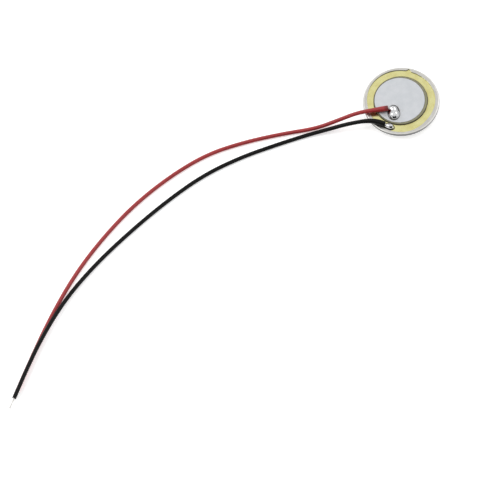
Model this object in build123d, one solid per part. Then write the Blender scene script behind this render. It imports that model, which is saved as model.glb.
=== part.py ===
from build123d import *

import math
import os

# Piezo sounder with leads, in millimetres.
# The sound face of the resonator cap rests on Z = 0 and the wired back faces up.
# The origin is the centre of the sound face and +Z runs up through the stack of parts.

# ---- driving dimensions: resonator cap ---------------------------------------------
RIM_R = 7.5
SHEET = 0.25
HOLE_R = 1.5
HOLE_LIP = 0.10
FACE_R = 4.87
CONE_R = 6.25
DEPTH = 1.10
STEP_R = 6.85
STEP_RISE = 0.06
RIM_FRONT_ROUND = 0.16
HEM_ROUND = 0.25
HEM_TOP = 1.78
HEM_SHEET = 0.23
HEM_CUT_R = 6.30
# The hem's torn inner edge: its radius at every eighth of a turn, from +X round.
HEM_EDGE = [6.72, 6.62, 6.86, 6.92, 6.64, 6.74, 6.84, 6.52]
NICK_TIP = (7.28, 68)
NICK_SIDES = [(6.50, 71.5), (6.50, 63.5)]

# ---- driving dimensions: sounder disc ----------------------------------------------
SEAL_T = 0.05
SEAL_INNER_R = 6.35
PLATE_R = 7.15
PLATE_T = 0.15
PLATE_POCKET = 0.10
BOND_T = 0.03
SILVER_T = 0.02
CERAMIC_R = 5.30
CERAMIC_T = 0.20
CERAMIC_OFF = (-0.10, 0.14)
SILVER_R = 4.92
SILVER_OFF = (-0.28, 0.19)

# ---- driving dimensions: solder beads ----------------------------------------------
# Each is its centre, its half lengths along X and Y before it is turned, its height,
# and the turn in degrees.
ELECTRODE_BEAD = ((-1.92, -2.62), 1.10, 1.16, 0.78, -8)
ELECTRODE_LOBE = ((-1.84, -1.60), 0.84, 0.68, 0.84, -8)
PLATE_BEAD = ((-3.18, -5.14), 1.00, 0.57, 0.68, -31)
BEAD_SINK = 0.20

# ---- driving dimensions: leads -----------------------------------------------------
WIRE_R = 0.40
BORE_R = 0.21
CORE_R = 0.19
ROOT_BARE = 0.75
TIP_BARE = 2.40
ARC_SHARE = 0.45

# The centre line of each lead's insulation, from its solder joint to its free end.
# Both leads arch over the rim and lie on the ground; the black one ends on the red.
RED_ROUTE = [
    (-2.95, -1.42, 2.33),
    (-5.30, -1.44, 2.52),
    (-8.80, -1.24, 2.60),
    (-12.80, -1.80, 1.40),
    (-17.40, -2.32, 0.405),
    (-24.00, -2.28, 0.405),
    (-31.50, -2.74, 0.405),
    (-39.00, -4.00, 0.405),
    (-46.50, -7.26, 0.405),
    (-54.50, -12.18, 0.405),
    (-61.80, -18.46, 0.405),
    (-68.20, -25.36, 0.405),
    (-73.75, -33.22, 0.405),
    (-78.30, -40.92, 0.405),
    (-81.80, -47.38, 0.405),
]
BLACK_ROUTE = [
    (-4.10, -4.66, 2.07),
    (-5.25, -3.98, 2.34),
    (-7.50, -3.42, 2.50),
    (-11.20, -3.27, 2.02),
    (-15.00, -3.18, 0.90),
    (-19.00, -3.38, 0.405),
    (-25.50, -4.46, 0.405),
    (-33.00, -5.96, 0.405),
    (-40.80, -8.56, 0.405),
    (-49.00, -13.12, 0.405),
    (-57.00, -18.50, 0.405),
    (-64.00, -23.88, 0.45),
    (-69.90, -29.60, 0.79),
    (-74.55, -35.62, 1.215),
    (-78.85, -42.22, 1.215),
    (-82.65, -49.12, 1.215),
]

# ---- heights of the stack ----------------------------------------------------------
FLANGE_BACK = DEPTH + SHEET
PLATE_Z = FLANGE_BACK + SEAL_T
PLATE_TOP = PLATE_Z + PLATE_T
BOND_TOP = PLATE_TOP + BOND_T
CERAMIC_Z = BOND_TOP + SILVER_T
CERAMIC_TOP = CERAMIC_Z + CERAMIC_T
SILVER_TOP = CERAMIC_TOP + SILVER_T


def save(shape, node):
    shape.label = node
    export_step(shape, f"parts/{node}.step")
    return shape


def polar(radius, degrees):
    angle = math.radians(degrees)
    return (radius * math.cos(angle), radius * math.sin(angle))


def disc(radius, bottom, thickness, centre=(0, 0)):
    place = Pos(centre[0], centre[1], bottom)
    return extrude(place * Circle(radius), thickness)


def ring(outer, inner, bottom, thickness):
    return extrude(Pos(0, 0, bottom) * (Circle(outer) - Circle(inner)), thickness)


def revolved(profile):
    """Solid of revolution about Z of corners given as (radius, height, corner radius)."""
    points = [(r, 0, z) for r, z, _ in profile]
    rounds = [corner for _, _, corner in profile]
    outline = FilletPolyline(points, radius=rounds, close=True)
    return revolve(make_face(outline), Axis.Z)


# ---- resonator cap -----------------------------------------------------------------
def hem_edge(bottom, height):
    """Space inside the clinched hem: an uneven round edge with one torn V-nick."""
    step = 360 / len(HEM_EDGE)
    edge = Spline(*[polar(r, step * k) for k, r in enumerate(HEM_EDGE)], periodic=True)
    corners = [polar(*corner) for corner in [NICK_TIP, *NICK_SIDES]]
    opening = make_face(edge) + make_face(Polyline(*corners, close=True))
    return extrude(Pos(0, 0, bottom) * opening, height)


def make_cap():
    """One drawn aluminium sheet: flat face, cone, flange, side wall and clinched hem."""
    slope = math.hypot(CONE_R - FACE_R, DEPTH)
    shift_r = -SHEET * DEPTH / slope
    shift_z = SHEET * (CONE_R - FACE_R) / slope
    run = (CONE_R - FACE_R) / DEPTH
    inner_face_r = FACE_R + shift_r + (SHEET - shift_z) * run
    inner_cone_r = FACE_R + shift_r + (FLANGE_BACK - shift_z) * run
    hem_under = HEM_TOP - HEM_SHEET
    pocket_r = PLATE_R + PLATE_POCKET
    profile = [
        (HOLE_R, 0, HOLE_LIP),
        (FACE_R, 0, 0.45),
        (CONE_R, DEPTH, 0.22),
        (STEP_R, DEPTH, 0.05),
        (STEP_R + STEP_RISE, DEPTH + STEP_RISE, 0.05),
        (RIM_R, DEPTH + STEP_RISE, RIM_FRONT_ROUND),
        (RIM_R, HEM_TOP, HEM_ROUND),
        (HEM_CUT_R, HEM_TOP, 0),
        (HEM_CUT_R, hem_under, 0),
        (pocket_r, hem_under, 0),
        (pocket_r, FLANGE_BACK, 0),
        (inner_cone_r, FLANGE_BACK, 0.45),
        (inner_face_r, SHEET, 0.20),
        (HOLE_R, SHEET, 0),
    ]
    shell = revolved(profile)
    return shell - hem_edge(hem_under, 2 * HEM_SHEET)


# ---- solder joints -----------------------------------------------------------------
def solder_bead(centre, half_x, half_y, height, turn, base_z):
    """Rounded bead standing on base_z: the top of an ellipsoid sunk by BEAD_SINK."""
    tall = height + BEAD_SINK
    widen = 1 / math.sqrt(1 - (BEAD_SINK / tall) ** 2)
    ball = scale(Sphere(1), by=(half_x * widen, half_y * widen, tall))
    ball = Pos(centre[0], centre[1], base_z - BEAD_SINK) * Rot(0, 0, turn) * ball
    room = 4 * max(half_x, half_y)
    above = Pos(centre[0], centre[1], base_z + tall) * Box(room, room, 2 * tall)
    return ball & above


def make_electrode_joint(core):
    """Pear-shaped bead on the silver, with a smaller lobe where the red core enters."""
    bead = solder_bead(*ELECTRODE_BEAD, SILVER_TOP)
    lobe = solder_bead(*ELECTRODE_LOBE, SILVER_TOP)
    return bead + lobe - core


def make_plate_joint(core):
    """Long bead on the brass margin, lying along it, where the black core enters."""
    return solder_bead(*PLATE_BEAD, PLATE_TOP) - core


# ---- leads -------------------------------------------------------------------------
def corner_radii(route):
    """The widest arc each corner takes: ARC_SHARE of its shorter run on both sides."""
    points = [Vector(*p) for p in route]
    radii = []
    for before, corner, after in zip(points, points[1:], points[2:]):
        run_in = corner - before
        run_out = after - corner
        half_turn = math.radians(run_in.get_angle(run_out)) / 2
        shorter = min(run_in.length, run_out.length)
        radii.append(ARC_SHARE * shorter / math.tan(half_turn))
    return radii


def lengthened(route, extra_root, extra_tip):
    """The route with its first and last runs made longer, straight on."""
    points = [Vector(*p) for p in route]
    root = points[0] + (points[0] - points[1]).normalized() * extra_root
    tip = points[-1] + (points[-1] - points[-2]).normalized() * extra_tip
    return [root] + points[1:-1] + [tip]


def tube(path, outer, inner=0.0):
    section = Circle(outer)
    if inner:
        section = section - Circle(inner)
    start = Plane(origin=path @ 0, z_dir=path % 0)
    return sweep(start * section, path=path)


def make_lead(name, route):
    """Insulation and stranded core of one lead, drawn along the same centre line."""
    radii = corner_radii(route)
    skin_path = FilletPolyline(route, radius=radii)
    core_path = FilletPolyline(lengthened(route, ROOT_BARE, TIP_BARE), radius=radii)
    skin = tube(skin_path, WIRE_R, BORE_R)
    core = tube(core_path, CORE_R)
    print(name, "arc radii", [round(r, 1) for r in radii])
    report_volume(name + " insulation", skin, skin_path, WIRE_R, BORE_R)
    report_volume(name + " conductor", core, core_path, CORE_R, 0)
    return skin, core


def report_volume(name, solid, path, outer, inner):
    expected = math.pi * (outer**2 - inner**2) * path.length
    print(f"{name}: length {path.length:.2f}, volume {solid.volume:.3f}, expected {expected:.3f}")


# ---- build -------------------------------------------------------------------------
os.makedirs("parts", exist_ok=True)

save(make_cap(), "resonator_cap")
save(ring(PLATE_R, SEAL_INNER_R, FLANGE_BACK, SEAL_T), "plate_seal")
save(disc(PLATE_R, PLATE_Z, PLATE_T), "brass_plate")
save(disc(CERAMIC_R, PLATE_TOP, BOND_T, CERAMIC_OFF), "ceramic_bond")
save(disc(CERAMIC_R, BOND_TOP, SILVER_T, CERAMIC_OFF), "lower_electrode")
save(disc(CERAMIC_R, CERAMIC_Z, CERAMIC_T, CERAMIC_OFF), "piezo_ceramic")
save(disc(SILVER_R, CERAMIC_TOP, SILVER_T, SILVER_OFF), "upper_electrode")

red_skin, red_core = make_lead("red", RED_ROUTE)
black_skin, black_core = make_lead("black", BLACK_ROUTE)
save(red_skin, "red_insulation")
save(red_core, "red_conductor")
save(black_skin, "black_insulation")
save(black_core, "black_conductor")
save(make_electrode_joint(red_core), "electrode_joint")
save(make_plate_joint(black_core), "plate_joint")
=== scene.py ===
import math

import bmesh
import bpy
import numpy as np
from mathutils import Matrix, Vector, noise


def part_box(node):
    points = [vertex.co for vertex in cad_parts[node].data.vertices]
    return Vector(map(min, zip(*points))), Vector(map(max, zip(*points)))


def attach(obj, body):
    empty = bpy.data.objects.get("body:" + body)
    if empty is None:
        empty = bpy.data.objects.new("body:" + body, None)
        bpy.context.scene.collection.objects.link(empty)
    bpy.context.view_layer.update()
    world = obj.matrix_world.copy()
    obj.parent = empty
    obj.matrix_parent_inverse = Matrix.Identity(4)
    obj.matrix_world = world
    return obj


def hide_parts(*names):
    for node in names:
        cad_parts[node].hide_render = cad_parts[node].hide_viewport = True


# Piezo sounder with leads: the wired back faces up and the sound face lies on the floor.
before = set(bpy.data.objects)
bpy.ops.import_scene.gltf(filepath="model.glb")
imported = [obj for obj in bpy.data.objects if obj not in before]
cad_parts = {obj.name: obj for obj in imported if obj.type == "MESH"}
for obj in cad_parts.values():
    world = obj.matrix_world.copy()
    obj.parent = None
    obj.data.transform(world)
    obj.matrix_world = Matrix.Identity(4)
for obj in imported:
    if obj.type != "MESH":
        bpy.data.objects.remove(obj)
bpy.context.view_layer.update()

MM = 0.001

# ---- camera: its tilt from straight down and its roll, in degrees -------------------
CAMERA_PLACE = Vector((-34.90, -306.70, 590.90)) * MM
CAMERA_TILT = 25.54
CAMERA_ROLL = -9.26
CAMERA_LENS = 250
CAMERA_CLIP = (0.05, 20)

# ---- studio ------------------------------------------------------------------------
FLOOR_HALF = 6.0
FLOOR_HEIGHT = -0.02 * MM
FLOOR_GLOW = 0.44
LAMP_AIM = Vector((-0.02, -0.01, 0))
# Each lamp is its name, its place and size in metres and its power in watts.
LAMPS = [
    ("key", (-0.45, 0.15, 0.80), 0.26, 1.3),
    ("fill", (0.50, 0.30, 0.70), 0.30, 0.7),
]

# ---- leads -------------------------------------------------------------------------
# Each insulation's route from its solder joint to its free end, in metres. The leads
# arch over the rim and lie on the floor, and the black one ends on top of the red one.
RED_ROUTE = [
    (-0.00295, -0.00146, 0.00238),
    (-0.00530, -0.00142, 0.00238),
    (-0.00880, -0.00134, 0.00235),
    (-0.01280, -0.00180, 0.00140),
    (-0.01740, -0.00232, 0.000405),
    (-0.02400, -0.00228, 0.000405),
    (-0.03150, -0.00274, 0.000405),
    (-0.03900, -0.00400, 0.000405),
    (-0.04650, -0.00726, 0.000405),
    (-0.05450, -0.01218, 0.000405),
    (-0.06180, -0.01846, 0.000405),
    (-0.06820, -0.02536, 0.000405),
    (-0.07375, -0.03322, 0.000405),
    (-0.07834, -0.04090, 0.000405),
    (-0.08192, -0.04732, 0.000405),
]
BLACK_ROUTE = [
    (-0.00410, -0.00466, 0.00213),
    (-0.00525, -0.00400, 0.00242),
    (-0.00750, -0.00344, 0.00248),
    (-0.01120, -0.00327, 0.00202),
    (-0.01500, -0.00318, 0.00090),
    (-0.01900, -0.00338, 0.000405),
    (-0.02550, -0.00446, 0.000405),
    (-0.03300, -0.00596, 0.000405),
    (-0.04080, -0.00856, 0.000405),
    (-0.04900, -0.01312, 0.000405),
    (-0.05700, -0.01850, 0.000405),
    (-0.06400, -0.02388, 0.00045),
    (-0.06990, -0.02960, 0.00079),
    (-0.07455, -0.03562, 0.001215),
    (-0.07885, -0.04222, 0.001215),
    (-0.08265, -0.04912, 0.001215),
]
WIRE_R = 0.40 * MM
BORE_R = 0.21 * MM
# The share by which the heat of soldering swelled each insulation at its joint.
RED_SWELL = 0.38
BLACK_SWELL = 0.40
SWELL_RUN = 5.5 * MM
UNEVEN_RUN = 1.7 * MM
UNEVEN_SHARE = 0.012
MELT_ROUND = 0.14 * MM
CUT_ROUND = 0.08 * MM
LIP_STEPS = 5
STRANDS = 7
STRAND_R = 0.0635 * MM
STRAND_PITCH = 4.5 * MM
ROOT_BARE = 0.60 * MM
ROOT_STEPS = 6
TIP_BARE = 2.35 * MM
TIP_STEPS = 24
FRAY_RUN = 0.9 * MM
FRAY_SPREAD = 0.035 * MM
ROUTE_STEPS = 24
TUBE_SIDES = 24
STRAND_SIDES = 8

# ---- sizes read from the frame -----------------------------------------------------
RIM_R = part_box("resonator_cap")[1].x
HEM_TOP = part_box("resonator_cap")[1].z
PLATE_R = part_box("brass_plate")[1].x
PLATE_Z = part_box("brass_plate")[0].z
PLATE_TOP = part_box("brass_plate")[1].z
SEAL_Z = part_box("plate_seal")[0].z
BOND_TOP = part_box("ceramic_bond")[1].z
CERAMIC_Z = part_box("piezo_ceramic")[0].z
CERAMIC_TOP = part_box("piezo_ceramic")[1].z
SILVER_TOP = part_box("upper_electrode")[1].z

# ---- resonator cap -----------------------------------------------------------------
SHEET = 0.25 * MM
HOLE_R = 1.5 * MM
FACE_R = 4.87 * MM
CONE_R = 6.25 * MM
CONE_DEPTH = 1.10 * MM
STEP_R = 6.85 * MM
STEP_RISE = 0.06 * MM
POCKET_GAP = 0.10 * MM
BEND_ROUND = 0.45 * MM
CONE_FOOT_ROUND = 0.22 * MM
CONE_INNER_ROUND = 0.20 * MM
STEP_ROUND = 0.05 * MM
RIM_FRONT_ROUND = 0.16 * MM
HEM_ROUND = 0.25 * MM
EDGE_ROUND = 0.03 * MM
HEM_START_R = 7.40 * MM
HEM_CUT_R = 6.30 * MM
# The hem's torn inner edge: its radius in mm at every eighth of a turn, from +X round.
HEM_EDGE = [6.72, 6.62, 6.86, 6.92, 6.64, 6.74, 6.84, 6.52]
NICK_ANGLE = math.radians(68)
NICK_HALF = math.radians(4.6)
NICK_R = 7.22 * MM

# ---- mesh fineness -----------------------------------------------------------------
LATHE_SEGMENTS = 384
CAP_RUN = 0.15 * MM
DISC_RUN = 0.35 * MM
BEAD_TURNS = 192
BEAD_LEVELS = 16
BEAD_RISES = 90
BEAD_REACH = 3 * MM
BEAD_HALVINGS = 24


# ---- mesh helpers ------------------------------------------------------------------
def place_piece(name, mesh, material, node):
    """Object for a finished mesh that rides on the body and stands for a CAD node."""
    piece = bpy.data.objects.new(name, mesh)
    bpy.context.scene.collection.objects.link(piece)
    mesh.materials.append(material)
    for face in mesh.polygons:
        face.use_smooth = True
    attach(piece, "root")
    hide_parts(node)
    return piece


def mesh_of(name, verts, faces):
    """Mesh with its face normals made to point outwards."""
    mesh = bpy.data.meshes.new(name)
    mesh.from_pydata(verts, [], faces)
    work = bmesh.new()
    work.from_mesh(mesh)
    bmesh.ops.recalc_face_normals(work, faces=work.faces)
    work.to_mesh(mesh)
    work.free()
    return mesh


def rounded(corners, steps=6):
    """Outline through corners of (radius, height, corner radius), each corner an arc."""
    outline = []
    for i, (r, z, size) in enumerate(corners):
        here = Vector((r, z))
        if size == 0:
            outline.append(here)
            continue
        back = (Vector(corners[i - 1][:2]) - here).normalized()
        ahead = (Vector(corners[(i + 1) % len(corners)][:2]) - here).normalized()
        half = back.angle(ahead) / 2
        centre = here + (back + ahead).normalized() * size / math.sin(half)
        first = (here + back * size / math.tan(half) - centre).normalized()
        last = (here + ahead * size / math.tan(half) - centre).normalized()
        outline += [centre + first.slerp(last, k / steps) * size for k in range(steps + 1)]
    return outline


def with_runs(outline, longest, closed):
    """The outline with each run over the longest length divided evenly."""
    ends = outline[1:] + outline[:1] if closed else outline[1:]
    points = []
    for start, end in zip(outline, ends):
        parts = max(1, math.ceil((end - start).length / longest))
        points += [start.lerp(end, k / parts) for k in range(parts)]
    return points if closed else points + [outline[-1]]


def lathe(name, outline, warp, centre=Vector((0, 0)), closed=False):
    """Surface of revolution of an outline; warp gives each point's (radius, height).

    An open outline starts and ends on the axis, where a ring is one point.
    """
    turns = [2 * math.pi * k / LATHE_SEGMENTS for k in range(LATHE_SEGMENTS)]
    verts = []
    rings = []
    for r, z in outline:
        on_axis = r == 0
        ring = []
        for angle in turns[:1] if on_axis else turns:
            far, height = warp(r, z, angle)
            ring.append(len(verts))
            verts.append((centre.x + far * math.cos(angle), centre.y + far * math.sin(angle), height))
        rings.append(ring)
    faces = []
    for one, other in zip(rings, rings[1:] + rings[:1] if closed else rings[1:]):
        for k in range(LATHE_SEGMENTS):
            after = k + 1
            corners = [one[k % len(one)], one[after % len(one)],
                       other[after % len(other)], other[k % len(other)]]
            faces.append(list(dict.fromkeys(corners)))
    return mesh_of(name, verts, faces)


def ring_noise(angle, waves, seed):
    """Smooth random value round a circle, about -1 to 1, with no jump at a full turn."""
    spot = Vector((math.cos(angle) * waves, math.sin(angle) * waves, seed))
    return noise.noise(spot) * 1.6


# ---- node helpers ------------------------------------------------------------------
class Nodes:
    """A node tree and short ways to add nodes to it."""

    def __init__(self, tree):
        self.tree = tree

    def node(self, kind, **settings):
        made = self.tree.nodes.new(kind)
        for key, value in settings.items():
            setattr(made, key, value)
        return made

    def plug(self, value, socket):
        if isinstance(value, bpy.types.NodeSocket):
            self.tree.links.new(value, socket)
        else:
            socket.default_value = value

    def math(self, operation, a, b=0.0):
        made = self.node("ShaderNodeMath", operation=operation)
        self.plug(a, made.inputs[0])
        self.plug(b, made.inputs[1])
        return made.outputs[0]

    def product(self, a, b):
        return self.math("MULTIPLY", a, b)

    def between(self, value, low, high, to_low=0.0, to_high=1.0):
        """The value's way from low to high, eased, given as to_low to to_high."""
        made = self.node("ShaderNodeMapRange", interpolation_type="SMOOTHSTEP")
        self.plug(value, made.inputs["Value"])
        made.inputs["From Min"].default_value = low
        made.inputs["From Max"].default_value = high
        made.inputs["To Min"].default_value = to_low
        made.inputs["To Max"].default_value = to_high
        return made.outputs["Result"]

    def mix(self, share, first, second):
        made = self.node("ShaderNodeMix", data_type="RGBA")
        self.plug(share, made.inputs["Factor"])
        self.plug(first, made.inputs[6])
        self.plug(second, made.inputs[7])
        return made.outputs[2]


class Paint(Nodes):
    """A Principled material and the nodes that drive it, in object coordinates."""

    def __init__(self, name, **values):
        self.material = bpy.data.materials.new(name)
        self.material.use_nodes = True
        super().__init__(self.material.node_tree)
        self.shader = self.tree.nodes["Principled BSDF"]
        for socket, value in values.items():
            self.shader.inputs[socket.replace("_", " ")].default_value = value
        self.place = self.node("ShaderNodeTexCoord").outputs["Object"]

    def set(self, socket, value):
        self.plug(value, self.shader.inputs[socket])

    def scaled(self, factors):
        made = self.node("ShaderNodeVectorMath", operation="MULTIPLY")
        self.plug(self.place, made.inputs[0])
        made.inputs[1].default_value = factors
        return made.outputs[0]

    def distance(self, point=(0, 0, 0)):
        """Distance from an upright line through the point."""
        flat = self.scaled((1, 1, 0))
        made = self.node("ShaderNodeVectorMath", operation="DISTANCE")
        self.plug(flat, made.inputs[0])
        made.inputs[1].default_value = (point[0], point[1], 0)
        return made.outputs["Value"]

    def height(self):
        made = self.node("ShaderNodeSeparateXYZ")
        self.plug(self.place, made.inputs[0])
        return made.outputs["Z"]

    def noise(self, size, detail, place=None):
        """Noise whose spots are about size metres across."""
        made = self.node("ShaderNodeTexNoise")
        self.plug(place or self.place, made.inputs["Vector"])
        made.inputs["Scale"].default_value = 1 / size
        made.inputs["Detail"].default_value = detail
        made.inputs["Roughness"].default_value = 0.55
        return made.outputs["Fac"]

    def rings(self, size):
        """Noise along the distance from the axis alone, as lathe marks have."""
        made = self.node("ShaderNodeTexNoise", noise_dimensions="1D")
        self.plug(self.distance(), made.inputs["W"])
        made.inputs["Scale"].default_value = 1 / size
        made.inputs["Detail"].default_value = 2.0
        return made.outputs["Fac"]

    def spots(self, size):
        """Distance to the nearest of many scattered points, in units of size."""
        made = self.node("ShaderNodeTexVoronoi")
        self.plug(self.place, made.inputs["Vector"])
        made.inputs["Scale"].default_value = 1 / size
        return made.outputs["Distance"]

    def bump(self, height, depth, strength, under=None):
        """Bump of the given depth in metres, on top of another bump if one is given."""
        made = self.node("ShaderNodeBump")
        made.inputs["Strength"].default_value = strength
        made.inputs["Distance"].default_value = depth
        self.plug(height, made.inputs["Height"])
        if under:
            self.plug(under, made.inputs["Normal"])
        return made.outputs["Normal"]


def shade(red, green, blue):
    return (red, green, blue, 1.0)


# ---- materials ---------------------------------------------------------------------
def aluminium():
    """Drawn sheet: satin face with ring marks, rubbed hem whose outer edge is lighter, partly polish and
    partly painted highlight.

    The side wall and the hem's sheared inner edge are darkened with painted shade.
    """
    paint = Paint("aluminium_sheet", Metallic=1.0)
    blotch = paint.noise(1.1 * MM, 4)
    grain = paint.noise(0.06 * MM, 2)
    marks = paint.rings(0.05 * MM)
    rub = paint.between(paint.noise(0.45 * MM, 5), 0.35, 0.7)
    light = paint.mix(paint.between(blotch, 0.3, 0.7), shade(0.53, 0.52, 0.49), shade(0.61, 0.60, 0.565))
    worn = paint.mix(paint.product(rub, 0.35), light, shade(0.45, 0.44, 0.42))
    away = paint.distance()
    height = paint.height()
    # Painted highlight, partly a polished edge: the hem's rounded outer edge is made lighter.
    polish_and_highlight = paint.product(paint.between(away, RIM_R - 0.34 * MM, RIM_R - 0.20 * MM),
                              paint.between(height, PLATE_TOP, HEM_TOP))
    # Painted shade on the side wall under the hem's rounding.
    wall = paint.product(paint.between(away, RIM_R - 0.10 * MM, RIM_R - 0.03 * MM),
                         paint.between(height, HEM_TOP - 0.09 * MM, HEM_TOP - 0.14 * MM))
    # Painted shade along the hem's sheared inner edge, where it meets the brass.
    inside = paint.product(paint.between(away, RIM_R - 0.22 * MM, RIM_R - 0.30 * MM),
                           paint.between(height, PLATE_TOP - 0.03 * MM, PLATE_TOP - 0.01 * MM))
    sheared = paint.product(inside, paint.between(height, HEM_TOP - 0.08 * MM, HEM_TOP - 0.12 * MM))
    # The lighter colour of the outer edge: polish and painted highlight.
    plain = paint.mix(polish_and_highlight, worn, shade(0.74, 0.73, 0.70))
    # Painted shade: the side wall and the sheared inner edge are darkened to grey.
    darkened = paint.math("MAXIMUM", wall, sheared)
    paint.set("Base Color", paint.mix(darkened, plain, shade(0.17, 0.17, 0.172)))
    satin = paint.between(grain, 0.3, 0.7, 0.26, 0.36)
    paint.set("Roughness", paint.math("ADD", satin, paint.product(rub, 0.10)))
    lines = paint.bump(marks, 0.0012 * MM, 0.6)
    paint.set("Normal", paint.bump(grain, 0.0025 * MM, 0.6, lines))
    return paint.material


def brass():
    """Rolled brass sheet with a fine grain along X and a faint tarnish."""
    paint = Paint("brass_sheet", Metallic=1.0)
    stretched = paint.scaled((0.12, 1, 1))
    grain = paint.noise(0.05 * MM, 3, stretched)
    tarnish = paint.between(paint.noise(1.6 * MM, 4), 0.35, 0.75)
    light = paint.mix(tarnish, shade(0.71, 0.68, 0.33), shade(0.64, 0.585, 0.25))
    near_disc = paint.between(paint.distance(), 5.3 * MM, 5.7 * MM, 0.35, 0.0)
    paint.set("Base Color", paint.mix(near_disc, light, shade(0.48, 0.42, 0.17)))
    paint.set("Roughness", paint.between(grain, 0.3, 0.7, 0.16, 0.26))
    paint.set("Normal", paint.bump(grain, 0.003 * MM, 0.7))
    return paint.material


def silver():
    """Fired silver paste: matt, with a faint screen mesh and a flux stain by the bead."""
    paint = Paint("silver_paste", Metallic=0.55)
    cloud = paint.noise(1.5 * MM, 4)
    grain = paint.noise(0.05 * MM, 3)
    light = paint.mix(paint.between(cloud, 0.3, 0.7), shade(0.57, 0.59, 0.615), shade(0.62, 0.635, 0.66))
    joint = (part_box("electrode_joint")[0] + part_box("electrode_joint")[1]) / 2
    near = paint.between(paint.distance(joint), 1.3 * MM, 2.3 * MM, 1.0, 0.0)
    patch = paint.between(paint.noise(0.6 * MM, 5), 0.42, 0.62)
    stain = paint.product(paint.product(near, patch), 0.55)
    paint.set("Base Color", paint.mix(stain, light, shade(0.42, 0.40, 0.38)))
    paint.set("Roughness", paint.between(grain, 0.3, 0.7, 0.42, 0.56))
    woven = paint.node("ShaderNodeTexWave", bands_direction="X")
    across = paint.node("ShaderNodeTexWave", bands_direction="Y")
    for wave in (woven, across):
        paint.plug(paint.place, wave.inputs["Vector"])
        wave.inputs["Scale"].default_value = 0.3 / (0.12 * MM)
    mesh = paint.product(woven.outputs["Fac"], across.outputs["Fac"])
    weave = paint.bump(mesh, 0.001 * MM, 0.35)
    paint.set("Normal", paint.bump(grain, 0.003 * MM, 0.6, weave))
    return paint.material


def ceramic():
    """Sintered grey-olive ceramic with a dark line along its rim and along the print's edge."""
    paint = Paint("piezo_ceramic", Metallic=0.0, Specular_IOR_Level=0.35)
    speck = paint.between(paint.spots(0.07 * MM), 0.0, 0.45)
    cloud = paint.between(paint.noise(0.7 * MM, 4), 0.35, 0.7)
    light = paint.mix(cloud, shade(0.30, 0.29, 0.18), shade(0.24, 0.23, 0.14))
    plain = paint.mix(speck, shade(0.13, 0.12, 0.075), light)
    rim_r = disc_radius("piezo_ceramic")
    rim = paint.between(paint.distance(disc_centre("piezo_ceramic")), rim_r - 0.16 * MM, rim_r - 0.05 * MM)
    print_r = disc_radius("upper_electrode")
    print_edge = paint.between(paint.distance(disc_centre("upper_electrode")),
                               print_r + 0.13 * MM, print_r + 0.03 * MM)
    # Dark lines along the ceramic's rim and along the silver print's edge.
    outline = paint.product(paint.math("MAXIMUM", rim, print_edge), 0.75)
    paint.set("Base Color", paint.mix(outline, plain, shade(0.05, 0.045, 0.03)))
    paint.set("Roughness", paint.between(speck, 0, 1, 0.7, 0.55))
    paint.set("Normal", paint.bump(paint.noise(0.04 * MM, 3), 0.004 * MM, 0.8))
    return paint.material


def epoxy():
    """Thin squeezed-out epoxy, dark amber and glossy."""
    paint = Paint("bond_epoxy", Metallic=0.0, Coat_Weight=0.4, Coat_Roughness=0.1)
    cloud = paint.between(paint.noise(0.4 * MM, 3), 0.35, 0.65)
    paint.set("Base Color", paint.mix(cloud, shade(0.055, 0.045, 0.022), shade(0.11, 0.085, 0.035)))
    paint.set("Roughness", paint.between(cloud, 0, 1, 0.25, 0.4))
    paint.set("Normal", paint.bump(cloud, 0.004 * MM, 0.5))
    return paint.material


def silicone():
    """Milky sealant film with small bubbles."""
    paint = Paint("seal_silicone", Metallic=0.0, Specular_IOR_Level=0.4)
    bubble = paint.between(paint.spots(0.2 * MM), 0.05, 0.3)
    paint.set("Base Color", paint.mix(bubble, shade(0.62, 0.62, 0.60), shade(0.78, 0.78, 0.76)))
    paint.set("Roughness", paint.between(bubble, 0, 1, 0.35, 0.55))
    paint.set("Normal", paint.bump(bubble, 0.005 * MM, 0.4))
    return paint.material


def solder(name, base):
    """Solder: bright with soft flow marks, flux specks, and a dark foot on the base that is flux residue
    and painted shade.
    """
    paint = Paint(name, Metallic=1.0)
    flow = paint.noise(0.35 * MM, 2)
    speck = paint.between(paint.noise(0.16 * MM, 4), 0.58, 0.72)
    cloud = paint.between(paint.noise(0.5 * MM, 3), 0.42, 0.60)
    bright = paint.mix(cloud, shade(0.72, 0.72, 0.73), shade(0.56, 0.565, 0.57))
    darkened = paint.mix(speck, bright, shade(0.40, 0.39, 0.37))
    # Dark foot where the bead meets its base: flux residue and painted shade.
    foot = paint.between(paint.height(), base + 0.07 * MM, base + 0.26 * MM, 0.9, 0.0)
    paint.set("Base Color", paint.mix(foot, darkened, shade(0.045, 0.04, 0.035)))
    gloss = paint.between(flow, 0.35, 0.65, 0.07, 0.16)
    paint.set("Roughness", paint.math("ADD", gloss, paint.product(speck, 0.2)))
    paint.set("Normal", paint.bump(flow, 0.006 * MM, 0.4))
    return paint.material


def tinned_copper():
    """Tinned strands: pale, soft gloss, with a little bare copper showing through."""
    paint = Paint("tinned_copper", Metallic=1.0)
    bare = paint.between(paint.noise(0.3 * MM, 4), 0.62, 0.75)
    paint.set("Base Color", paint.mix(bare, shade(0.80, 0.79, 0.77), shade(0.72, 0.55, 0.42)))
    paint.set("Roughness", paint.between(paint.noise(0.08 * MM, 2), 0.3, 0.7, 0.22, 0.38))
    paint.set("Normal", paint.bump(paint.noise(0.05 * MM, 2), 0.002 * MM, 0.6))
    return paint.material


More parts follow.
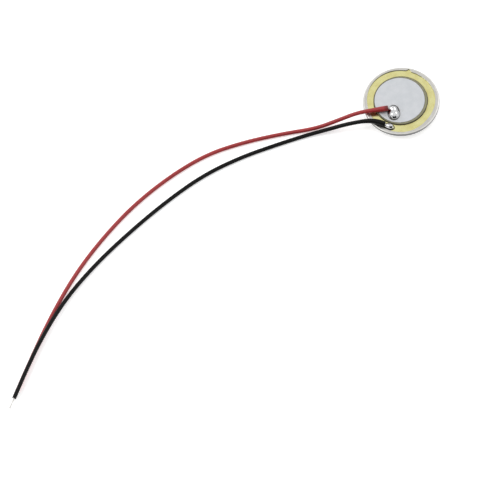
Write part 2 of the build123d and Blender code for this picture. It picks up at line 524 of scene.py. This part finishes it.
def pvc(name, light, dark, gloss, joint):
    """Extruded PVC: fine orange peel, scuffed patches, darker at its joint end from heat browning and
    painted shade.
    """
    paint = Paint(name, Metallic=0.0, Specular_IOR_Level=gloss)
    cloud = paint.between(paint.noise(2.5 * MM, 4), 0.3, 0.7)
    scuff = paint.between(paint.noise(0.5 * MM, 5), 0.58, 0.72)
    peel = paint.noise(0.12 * MM, 3)
    # Darker towards the joint end: heat browning and painted shade.
    edge = paint.math("ADD", paint.distance(joint), paint.product(cloud, 0.2 * MM))
    scorch_and_shade = paint.between(edge, 0.35 * MM, 1.0 * MM, 0.75, 0.0)
    plain = paint.mix(cloud, light, dark)
    burnt_and_shaded = shade(*[0.3 * part for part in dark[:3]])
    paint.set("Base Color", paint.mix(scorch_and_shade, plain, burnt_and_shaded))
    paint.set("Roughness", paint.math("ADD", paint.between(peel, 0.3, 0.7, 0.30, 0.40),
                                      paint.product(scuff, 0.15)))
    paint.set("Normal", paint.bump(peel, 0.006 * MM, 0.6))
    return paint.material


def floor_paint():
    paint = Paint("studio_floor", Roughness=1.0, Specular_IOR_Level=0.0)
    cloud = paint.noise(0.2, 2)
    paint.set("Base Color", paint.mix(cloud, shade(0.93, 0.93, 0.93), shade(0.95, 0.95, 0.95)))
    paint.set("Emission Color", shade(1, 1, 1))
    paint.set("Emission Strength", FLOOR_GLOW)
    return paint.material


# ---- resonator cap -----------------------------------------------------------------
def hem_edge(angle):
    """Radius of the hem's torn inner edge at an angle, with its one V-nick."""
    step = 2 * math.pi / len(HEM_EDGE)
    turn = (angle % (2 * math.pi)) / step
    k = int(turn)
    share = turn - k
    before, start, end, after = [HEM_EDGE[(k + j) % len(HEM_EDGE)] for j in (-1, 0, 1, 2)]
    slope_in = (end - before) / 2
    slope_out = (after - start) / 2
    drop = start - end
    smooth = (((slope_in + slope_out + 2 * drop) * share - 2 * slope_in - slope_out - 3 * drop)
              * share + slope_in) * share + start
    torn = ring_noise(angle, 9, 3.1) * 0.02 + ring_noise(angle, 34, 7.7) * 0.012
    plain = (smooth + torn) * MM
    off = abs((angle - NICK_ANGLE + math.pi) % (2 * math.pi) - math.pi) / NICK_HALF
    return max(plain, NICK_R - (NICK_R - plain) * min(off, 1)) if off < 1 else plain


def warp_cap(r, z, angle):
    """Gives the hem its torn edge and its crimp marks; the front stays as drawn."""
    if z < PLATE_TOP - 0.01 * MM or r > HEM_START_R:
        return r, z
    edge = hem_edge(angle)
    if z < PLATE_TOP + 0.05 * MM:
        pocket_r = PLATE_R + POCKET_GAP
        inward = max(0, (pocket_r - r) / (pocket_r - HEM_CUT_R))
        lift = max(0, ring_noise(angle, 6, 1.7)) * 0.025 * MM
        return pocket_r - inward * (pocket_r - edge), z + inward * lift
    inward = (HEM_START_R - r) / (HEM_START_R - HEM_CUT_R)
    far = HEM_START_R - inward * (HEM_START_R - edge)
    sag = (0.035 + 0.02 * ring_noise(angle, 5, 4.4)) * MM
    crimp = 0.010 * MM * ring_noise(angle, 22, 9.2) * math.sin(math.pi * min(inward, 1))
    return far, z - inward * sag + crimp


def make_cap(material):
    """Drawn shell: flat face with its hole, cone, flange, side wall and clinched hem."""
    slope = math.hypot(CONE_R - FACE_R, CONE_DEPTH)
    run = (CONE_R - FACE_R) / CONE_DEPTH
    inner_r = FACE_R - SHEET * CONE_DEPTH / slope
    rise = SHEET - SHEET * (CONE_R - FACE_R) / slope
    pocket_r = PLATE_R + POCKET_GAP
    corners = [
        (HOLE_R, 0, 0.10 * MM),
        (FACE_R, 0, BEND_ROUND),
        (CONE_R, CONE_DEPTH, CONE_FOOT_ROUND),
        (STEP_R, CONE_DEPTH, STEP_ROUND),
        (STEP_R + STEP_RISE, CONE_DEPTH + STEP_RISE, STEP_ROUND),
        (RIM_R, CONE_DEPTH + STEP_RISE, RIM_FRONT_ROUND),
        (RIM_R, HEM_TOP, HEM_ROUND),
        (HEM_CUT_R, HEM_TOP, 0.05 * MM),
        (HEM_CUT_R, PLATE_TOP, 0.02 * MM),
        (pocket_r, PLATE_TOP, EDGE_ROUND),
        (pocket_r, SEAL_Z, EDGE_ROUND),
        (inner_r + (SEAL_Z - SHEET + rise) * run, SEAL_Z, BEND_ROUND),
        (inner_r + rise * run, SHEET, CONE_INNER_ROUND),
        (HOLE_R, SHEET, EDGE_ROUND),
    ]
    outline = with_runs(rounded(corners), CAP_RUN, closed=True)
    mesh = lathe("cap_shell", outline, warp_cap, closed=True)
    return place_piece("cap_shell", mesh, material, "resonator_cap")


# ---- sounder disc ------------------------------------------------------------------
def disc_centre(node):
    low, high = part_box(node)
    return ((low + high) / 2).xy


def disc_radius(node):
    low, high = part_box(node)
    return (high.x - low.x) / 2


def disc_outline(radius, low, high, round_size):
    """Half outline of a disc, from the axis below to the axis above."""
    corners = [(0, low, 0), (radius, low, round_size), (radius, high, round_size), (0, high, 0)]
    return with_runs(rounded(corners, 4), DISC_RUN, closed=False)


def make_plate(material):
    """Brass plate whose upper side is a hair out of flat."""
    def warp(r, z, angle):
        dish = 0.003 * MM * ring_noise(angle, 2, r / MM * 0.6)
        return r, z - abs(dish) * (r / PLATE_R) * (z > PLATE_Z + 0.1 * MM)

    mesh = lathe("plate_sheet", disc_outline(PLATE_R, PLATE_Z, PLATE_TOP, 0.04 * MM), warp)
    return place_piece("plate_sheet", mesh, material, "brass_plate")


def make_bond(material):
    """Epoxy film under the ceramic, with the uneven bead that it squeezes out."""
    radius = disc_radius("ceramic_bond")
    squeeze = 0.10 * MM

    def warp(r, z, angle):
        share = 0.55 + 0.45 * ring_noise(angle, 5, 2.2) + 0.2 * ring_noise(angle, 17, 5.5)
        over = max(0, r - radius)
        return r + over * (min(1, max(0.15, share)) - 1), z

    outline = [Vector(p) for p in [
        (0, PLATE_TOP),
        (radius + squeeze, PLATE_TOP),
        (radius + 0.55 * squeeze, PLATE_TOP + 0.02 * MM),
        (radius + 0.25 * squeeze, PLATE_TOP + 0.05 * MM),
        (radius + 0.06 * squeeze, PLATE_TOP + 0.10 * MM),
        (radius + 0.02 * squeeze, PLATE_TOP + 0.10 * MM),
        (radius + 0.02 * squeeze, BOND_TOP),
        (0, BOND_TOP),
    ]]
    mesh = lathe("bond_film", outline, warp, disc_centre("ceramic_bond"))
    return place_piece("bond_film", mesh, material, "ceramic_bond")


def make_ceramic(material):
    """Ceramic disc whose sharp edge has small chips."""
    radius = disc_radius("piezo_ceramic")

    def warp(r, z, angle):
        chip = max(0, ring_noise(angle, 40, 6.1) - 0.35) * 0.05 * MM
        return r - chip * (r > radius - 0.08 * MM) * (z > CERAMIC_Z + 0.1 * MM), z

    outline = disc_outline(radius, CERAMIC_Z, CERAMIC_TOP, 0.02 * MM)
    mesh = lathe("ceramic_disc", outline, warp, disc_centre("piezo_ceramic"))
    return place_piece("ceramic_disc", mesh, material, "piezo_ceramic")


def make_electrode(material):
    """Printed silver disc with a slightly ragged edge."""
    radius = disc_radius("upper_electrode")

    def warp(r, z, angle):
        ragged = ring_noise(angle, 14, 8.3) * 0.012 + ring_noise(angle, 55, 2.9) * 0.008
        return r + min(0, ragged - 0.004) * MM * (r > radius - 0.05 * MM), z

    outline = disc_outline(radius, CERAMIC_TOP, SILVER_TOP, 0.008 * MM)
    mesh = lathe("silver_disc", outline, warp, disc_centre("upper_electrode"))
    return place_piece("silver_disc", mesh, material, "upper_electrode")


# ---- solder beads ------------------------------------------------------------------
def ellipsoid(points, centre, half, turn=0):
    """About how far each point lies outside an ellipsoid turned about Z, in degrees."""
    spin = np.array(Matrix.Rotation(math.radians(turn), 3, "Z"))
    half = np.array(half) * MM
    local = (points - np.array(centre) * MM) @ spin
    near = np.linalg.norm(local / half, axis=1)
    steep = np.linalg.norm(local / half**2, axis=1)
    return near * (near - 1) / np.maximum(steep, 1e-9)


def melted(first, second, size):
    """Union of two distances with a soft fillet of about size mm between them."""
    size = size * MM
    share = np.clip(0.5 + 0.5 * (second - first) / size, 0, 1)
    return second * (1 - share) + first * share - size * share * (1 - share)


def hollowed(solid, tool, size):
    """Solid less tool, with a soft edge of about size mm."""
    return -melted(-solid, tool, size)


def bead_mesh(name, heart, base, distance):
    """Closed surface where the distance is 0, on a flat base.

    Each ring is found sideways from an upright line, up to the heart's height, and
    outwards from the heart above that.
    """
    heart = np.array(heart) * MM
    turns = np.linspace(0, 2 * math.pi, BEAD_TURNS, endpoint=False)
    round_ways = np.stack([np.cos(turns), np.sin(turns), 0 * turns], axis=1)
    up = np.array([0, 0, 1.0])
    starts = []
    ways = []
    for k in range(BEAD_LEVELS):
        level = base + (heart[2] - base) * (k / BEAD_LEVELS) ** 2
        starts.append(np.tile([heart[0], heart[1], level], (BEAD_TURNS, 1)))
        ways.append(round_ways)
    for k in range(BEAD_RISES):
        rise = math.pi / 2 * k / BEAD_RISES
        starts.append(np.tile(heart, (BEAD_TURNS, 1)))
        ways.append(round_ways * math.cos(rise) + up * math.sin(rise))
    starts = np.concatenate(starts + [[heart]])
    ways = np.concatenate(ways + [[up]])
    near = np.zeros(len(ways))
    far = np.full(len(ways), BEAD_REACH)
    for _ in range(BEAD_HALVINGS):
        middle = (near + far) / 2
        inside = distance(starts + ways * middle[:, None]) < 0
        near = np.where(inside, middle, near)
        far = np.where(inside, far, middle)
    verts = (starts + ways * near[:, None]).tolist()
    top = len(verts) - 1
    verts.append([heart[0], heart[1], base])
    last_ring = top - BEAD_TURNS
    faces = []
    for k in range(BEAD_TURNS):
        after = (k + 1) % BEAD_TURNS
        for ring in range(0, last_ring, BEAD_TURNS):
            faces.append([ring + k, ring + after, ring + BEAD_TURNS + after, ring + BEAD_TURNS + k])
        faces.append([last_ring + k, last_ring + after, top])
        faces.append([after, k, top + 1])
    return mesh_of(name, verts, faces)


def ripples(points, size, depth, seed):
    """Soft random swelling of a surface, in metres, the same on every run."""
    turned = points / (size * MM) + seed
    wave = np.sin(turned[:, 0] + 1.3 * np.sin(turned[:, 1])) * np.cos(turned[:, 1] * 0.9 + turned[:, 2])
    return wave * depth * MM


def make_electrode_bead(material):
    """Pear-shaped bead on the silver: a large drop and a smaller lobe by the red core."""
    base = SILVER_TOP / MM

    def distance(points):
        drop = ellipsoid(points, (-1.86, -2.72, base + 0.02), (1.12, 1.20, 0.80), -8)
        lobe = ellipsoid(points, (-1.86, -1.60, base + 0.04), (0.88, 0.70, 0.78), -8)
        collar = ellipsoid(points, (-2.46, -1.44, base + 0.44), (0.50, 0.31, 0.28), -8)
        foot = ellipsoid(points, (-1.88, -2.32, base), (1.22, 1.70, 0.09), -6)
        pit = ellipsoid(points, (-1.98, -1.52, base + 0.80), (0.15, 0.13, 0.13))
        body = melted(melted(drop, lobe, 0.28), collar, 0.16)
        body = melted(body, foot, 0.16)
        return hollowed(body, pit, 0.06) - ripples(points, 0.55, 0.008, 1.7)

    mesh = bead_mesh("electrode_bead", (-1.89, -2.15, base + 0.30), SILVER_TOP, distance)
    return place_piece("electrode_bead", mesh, material, "electrode_joint")


def make_plate_bead(material):
    """Long bead on the brass margin, which takes the black core at its outer end."""
    base = PLATE_TOP / MM

    def distance(points):
        drop = ellipsoid(points, (-3.12, -5.14, base + 0.02), (0.90, 0.62, 0.80), -31)
        tail = ellipsoid(points, (-3.72, -4.88, base + 0.16), (0.46, 0.40, 0.52), -31)
        foot = ellipsoid(points, (-3.22, -5.10, base), (1.16, 0.72, 0.08), -31)
        rise = ellipsoid(points, (-2.80, -5.26, base + 0.40), (0.34, 0.34, 0.42), -31)
        body = melted(melted(drop, tail, 0.2), rise, 0.1)
        return melted(body, foot, 0.14) - ripples(points, 0.45, 0.008, 4.2)

    mesh = bead_mesh("plate_bead", (-3.25, -5.08, base + 0.28), PLATE_TOP, distance)
    return place_piece("plate_bead", mesh, material, "plate_joint")


# ---- leads -------------------------------------------------------------------------
def route_line(route):
    """Points along the smooth NURBS curve whose control points are the route's."""
    curve = bpy.data.curves.new("route", "CURVE")
    curve.dimensions = "3D"
    spline = curve.splines.new("NURBS")
    spline.points.add(len(route) - 1)
    for point, place in zip(spline.points, route):
        point.co = (*place, 1)
    spline.order_u = 3
    spline.use_endpoint_u = True
    spline.resolution_u = ROUTE_STEPS
    holder = bpy.data.objects.new("route", curve)
    bpy.context.scene.collection.objects.link(holder)
    mesh = bpy.data.meshes.new_from_object(holder)
    line = [v.co.copy() for v in mesh.vertices]
    bpy.data.objects.remove(holder)
    bpy.data.curves.remove(curve)
    bpy.data.meshes.remove(mesh)
    return line


def frames_along(line):
    """For each point of a line: the way on and two sides that don't twist about it."""
    ways = [(b - a).normalized() for a, b in zip(line, line[1:])]
    ways = [ways[0]] + [(a + b).normalized() for a, b in zip(ways, ways[1:])] + [ways[-1]]
    side = ways[0].cross(Vector((0, 0, 1))).normalized()
    made = []
    for way in ways:
        side = (side - way * side.dot(way)).normalized()
        made.append((way, side, way.cross(side)))
    return made


def lengths_along(line):
    total = 0.0
    made = [0.0]
    for a, b in zip(line, line[1:]):
        total += (b - a).length
        made.append(total)
    return made


def rings_mesh(name, rings, sides, closed):
    """Surface through rings of (centre, side, up, radius), closed on itself or capped."""
    verts = []
    for centre, side, up, radius in rings:
        for k in range(sides):
            angle = 2 * math.pi * k / sides
            verts.append(centre + (side * math.cos(angle) + up * math.sin(angle)) * radius)
    count = len(rings)
    faces = []
    for i in range(count if closed else count - 1):
        one = i * sides
        other = (i + 1) % count * sides
        for k in range(sides):
            after = (k + 1) % sides
            faces.append([one + k, one + after, other + after, other + k])
    if not closed:
        faces.append(list(range(sides)))
        faces.append([(count - 1) * sides + k for k in range(sides)])
    return verts, faces


def skin_radius(along, swell, seed):
    """Outer radius of an insulation: swollen by heat at its joint, uneven by a hair."""
    hot = max(0.0, 1 - along / SWELL_RUN)
    uneven = noise.noise(Vector((along / UNEVEN_RUN, seed, 0))) * UNEVEN_SHARE
    return WIRE_R * (1 + swell * hot * hot * (3 - 2 * hot) + uneven)


def make_skin(name, route, material, node, swell, seed):
    """Insulation tube along the route, with its bore, a melted and a cut end."""
    line = route_line(route)
    sides = frames_along(line)
    outer = []
    for point, (_, side, up), along in zip(line, sides, lengths_along(line)):
        outer.append((point, side, up, skin_radius(along, swell, seed)))
    inner = [(point, side, up, BORE_R) for point, side, up, _ in outer]

    def lip(end, way, size):
        """Rounded edge that takes the end ring's radius in to a rim round the bore."""
        point, side, up, radius = end
        made = []
        for k in range(1, LIP_STEPS + 1):
            turn = math.pi / 2 * k / LIP_STEPS
            made.append((point + way * size * math.sin(turn), side, up,
                         radius - size * (1 - math.cos(turn))))
        made.append((point + way * size * 0.9, side, up, (radius - size + BORE_R) / 2))
        made.append((point + way * size * 0.6, side, up, BORE_R))
        return made

    start_lip = lip(outer[0], -sides[0][0], MELT_ROUND)
    end_lip = lip(outer[-1], sides[-1][0], CUT_ROUND)
    rings = outer + end_lip + inner[::-1] + start_lip[::-1]
    verts, faces = rings_mesh(name, rings, TUBE_SIDES, closed=True)
    piece = place_piece(name, mesh_of(name, verts, faces), material, node)
    path = [line[0] - sides[0][0] * MELT_ROUND, *line, line[-1] + sides[-1][0] * CUT_ROUND]
    return piece, path


def make_strands(name, route, material, node):
    """Twisted strands along the whole route, bare past both ends of the skin."""
    line = route_line(route)
    ways = frames_along(line)
    root_way = -ways[0][0]
    tip_way = ways[-1][0]
    root = [line[0] + root_way * ROOT_BARE * k / ROOT_STEPS for k in range(ROOT_STEPS, 0, -1)]
    tip = [line[-1] + tip_way * TIP_BARE * k / TIP_STEPS for k in range(1, TIP_STEPS + 1)]
    whole = root + line + tip
    sides = frames_along(whole)
    lengths = lengths_along(whole)
    fray_from = lengths[-1] - FRAY_RUN
    verts = []
    faces = []
    for strand in range(STRANDS):
        rings = []
        cut = len(whole) - strand % 3 if strand else len(whole)
        for point, (_, side, up), along in list(zip(whole, sides, lengths))[:cut]:
            turn = 2 * math.pi * (along / STRAND_PITCH + strand / (STRANDS - 1))
            fray = max(0, along - fray_from) / FRAY_RUN
            spread = FRAY_SPREAD * fray * fray * (strand % 2 + 0.4)
            off = 2 * STRAND_R + spread if strand else 0
            centre = point + (side * math.cos(turn) + up * math.sin(turn)) * off
            rings.append((centre, side, up, STRAND_R))
        more, sheets = rings_mesh(name, rings, STRAND_SIDES, closed=False)
        faces += [[k + len(verts) for k in sheet] for sheet in sheets]
        verts += more
    return place_piece(name, mesh_of(name, verts, faces), material, node)


# ---- studio ------------------------------------------------------------------------
def make_camera():
    """Long-lens camera that looks steeply down from the near side."""
    camera = bpy.data.objects.new("camera", bpy.data.cameras.new("camera"))
    bpy.context.scene.collection.objects.link(camera)
    camera.data.lens = CAMERA_LENS
    camera.data.clip_start, camera.data.clip_end = CAMERA_CLIP
    tilt = Matrix.Rotation(math.radians(CAMERA_TILT), 4, "X")
    roll = Matrix.Rotation(math.radians(CAMERA_ROLL), 4, "Z")
    camera.matrix_world = Matrix.Translation(CAMERA_PLACE) @ tilt @ roll
    bpy.context.scene.camera = camera


def make_floor():
    """Large pale floor just under the sound face."""
    signs = [(-1, -1), (1, -1), (1, 1), (-1, 1)]
    corners = [(x * FLOOR_HALF, y * FLOOR_HALF, FLOOR_HEIGHT) for x, y in signs]
    mesh = bpy.data.meshes.new("studio_floor")
    mesh.from_pydata(corners, [], [(0, 1, 2, 3)])
    floor = bpy.data.objects.new("studio_floor", mesh)
    bpy.context.scene.collection.objects.link(floor)
    mesh.materials.append(floor_paint())


def make_world():
    """White light tent, grey low down all round and open and dark on its near side.

    The limits of each tone are parts of the unit direction in which the tent is seen.
    """
    world = bpy.data.worlds.new("light_tent")
    bpy.context.scene.world = world
    world.use_nodes = True
    world.node_tree.nodes.clear()
    sky = Nodes(world.node_tree)
    parts = sky.node("ShaderNodeSeparateXYZ")
    sky.plug(sky.node("ShaderNodeTexCoord").outputs["Generated"], parts.inputs[0])
    height = parts.outputs["Z"]
    above_floor = sky.between(height, 0.04, 0.08)
    skirt = sky.product(above_floor, sky.between(height, 0.32, 0.20))
    near = sky.product(sky.between(parts.outputs["Y"], -0.30, -0.46), sky.between(height, 0.88, 0.80))
    aside = sky.math("ABSOLUTE", parts.outputs["X"])
    opening = sky.product(sky.product(near, sky.between(aside, 0.62, 0.48)), above_floor)
    cloth = sky.mix(skirt, shade(1.0, 1.0, 1.0), shade(0.45, 0.45, 0.46))
    tent = sky.mix(opening, cloth, shade(0.01, 0.01, 0.012))
    back = sky.node("ShaderNodeBackground")
    sky.plug(tent, back.inputs["Color"])
    out = sky.node("ShaderNodeOutputWorld")
    sky.plug(back.outputs[0], out.inputs["Surface"])


def make_lights():
    """A soft round lamp high on the left and a weaker one on the right."""
    for name, place, size, power in LAMPS:
        data = bpy.data.lights.new(name, "AREA")
        data.shape = "DISK"
        data.size = size
        data.energy = power
        lamp = bpy.data.objects.new(name, data)
        bpy.context.scene.collection.objects.link(lamp)
        lamp.rotation_mode = "QUATERNION"
        lamp.rotation_quaternion = (LAMP_AIM - Vector(place)).to_track_quat("-Z", "Y")
        lamp.location = place


# ---- build -------------------------------------------------------------------------
make_camera()

red_pvc = pvc("red_pvc", shade(0.39, 0.033, 0.036), shade(0.34, 0.025, 0.028), 0.50, RED_ROUTE[0])
black_pvc = pvc("black_pvc", shade(0.004, 0.004, 0.004), shade(0.007, 0.007, 0.007), 0.14, BLACK_ROUTE[0])
tinned = tinned_copper()
electrode_solder = solder("electrode_solder", SILVER_TOP)
plate_solder = solder("plate_solder", PLATE_TOP)
silver_paint = silver()

red_strands = make_strands("red_strands", RED_ROUTE, tinned, "red_conductor")
black_strands = make_strands("black_strands", BLACK_ROUTE, tinned, "black_conductor")
red_skin, red_path = make_skin("red_skin", RED_ROUTE, red_pvc, "red_insulation",
                               RED_SWELL, 1.0)
black_skin, black_path = make_skin("black_skin", BLACK_ROUTE, black_pvc,
                                   "black_insulation", BLACK_SWELL, 5.0)

make_cap(aluminium())
make_plate(brass())
make_bond(epoxy())
make_ceramic(ceramic())
make_electrode(silver_paint)
make_electrode_bead(electrode_solder)
make_plate_bead(plate_solder)

for node, paint_for_node in [("plate_seal", silicone()), ("lower_electrode", silver_paint)]:
    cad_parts[node].data.materials.clear()
    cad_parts[node].data.materials.append(paint_for_node)

make_floor()
make_world()
make_lights()
bpy.context.scene.view_settings.view_transform = "Standard"
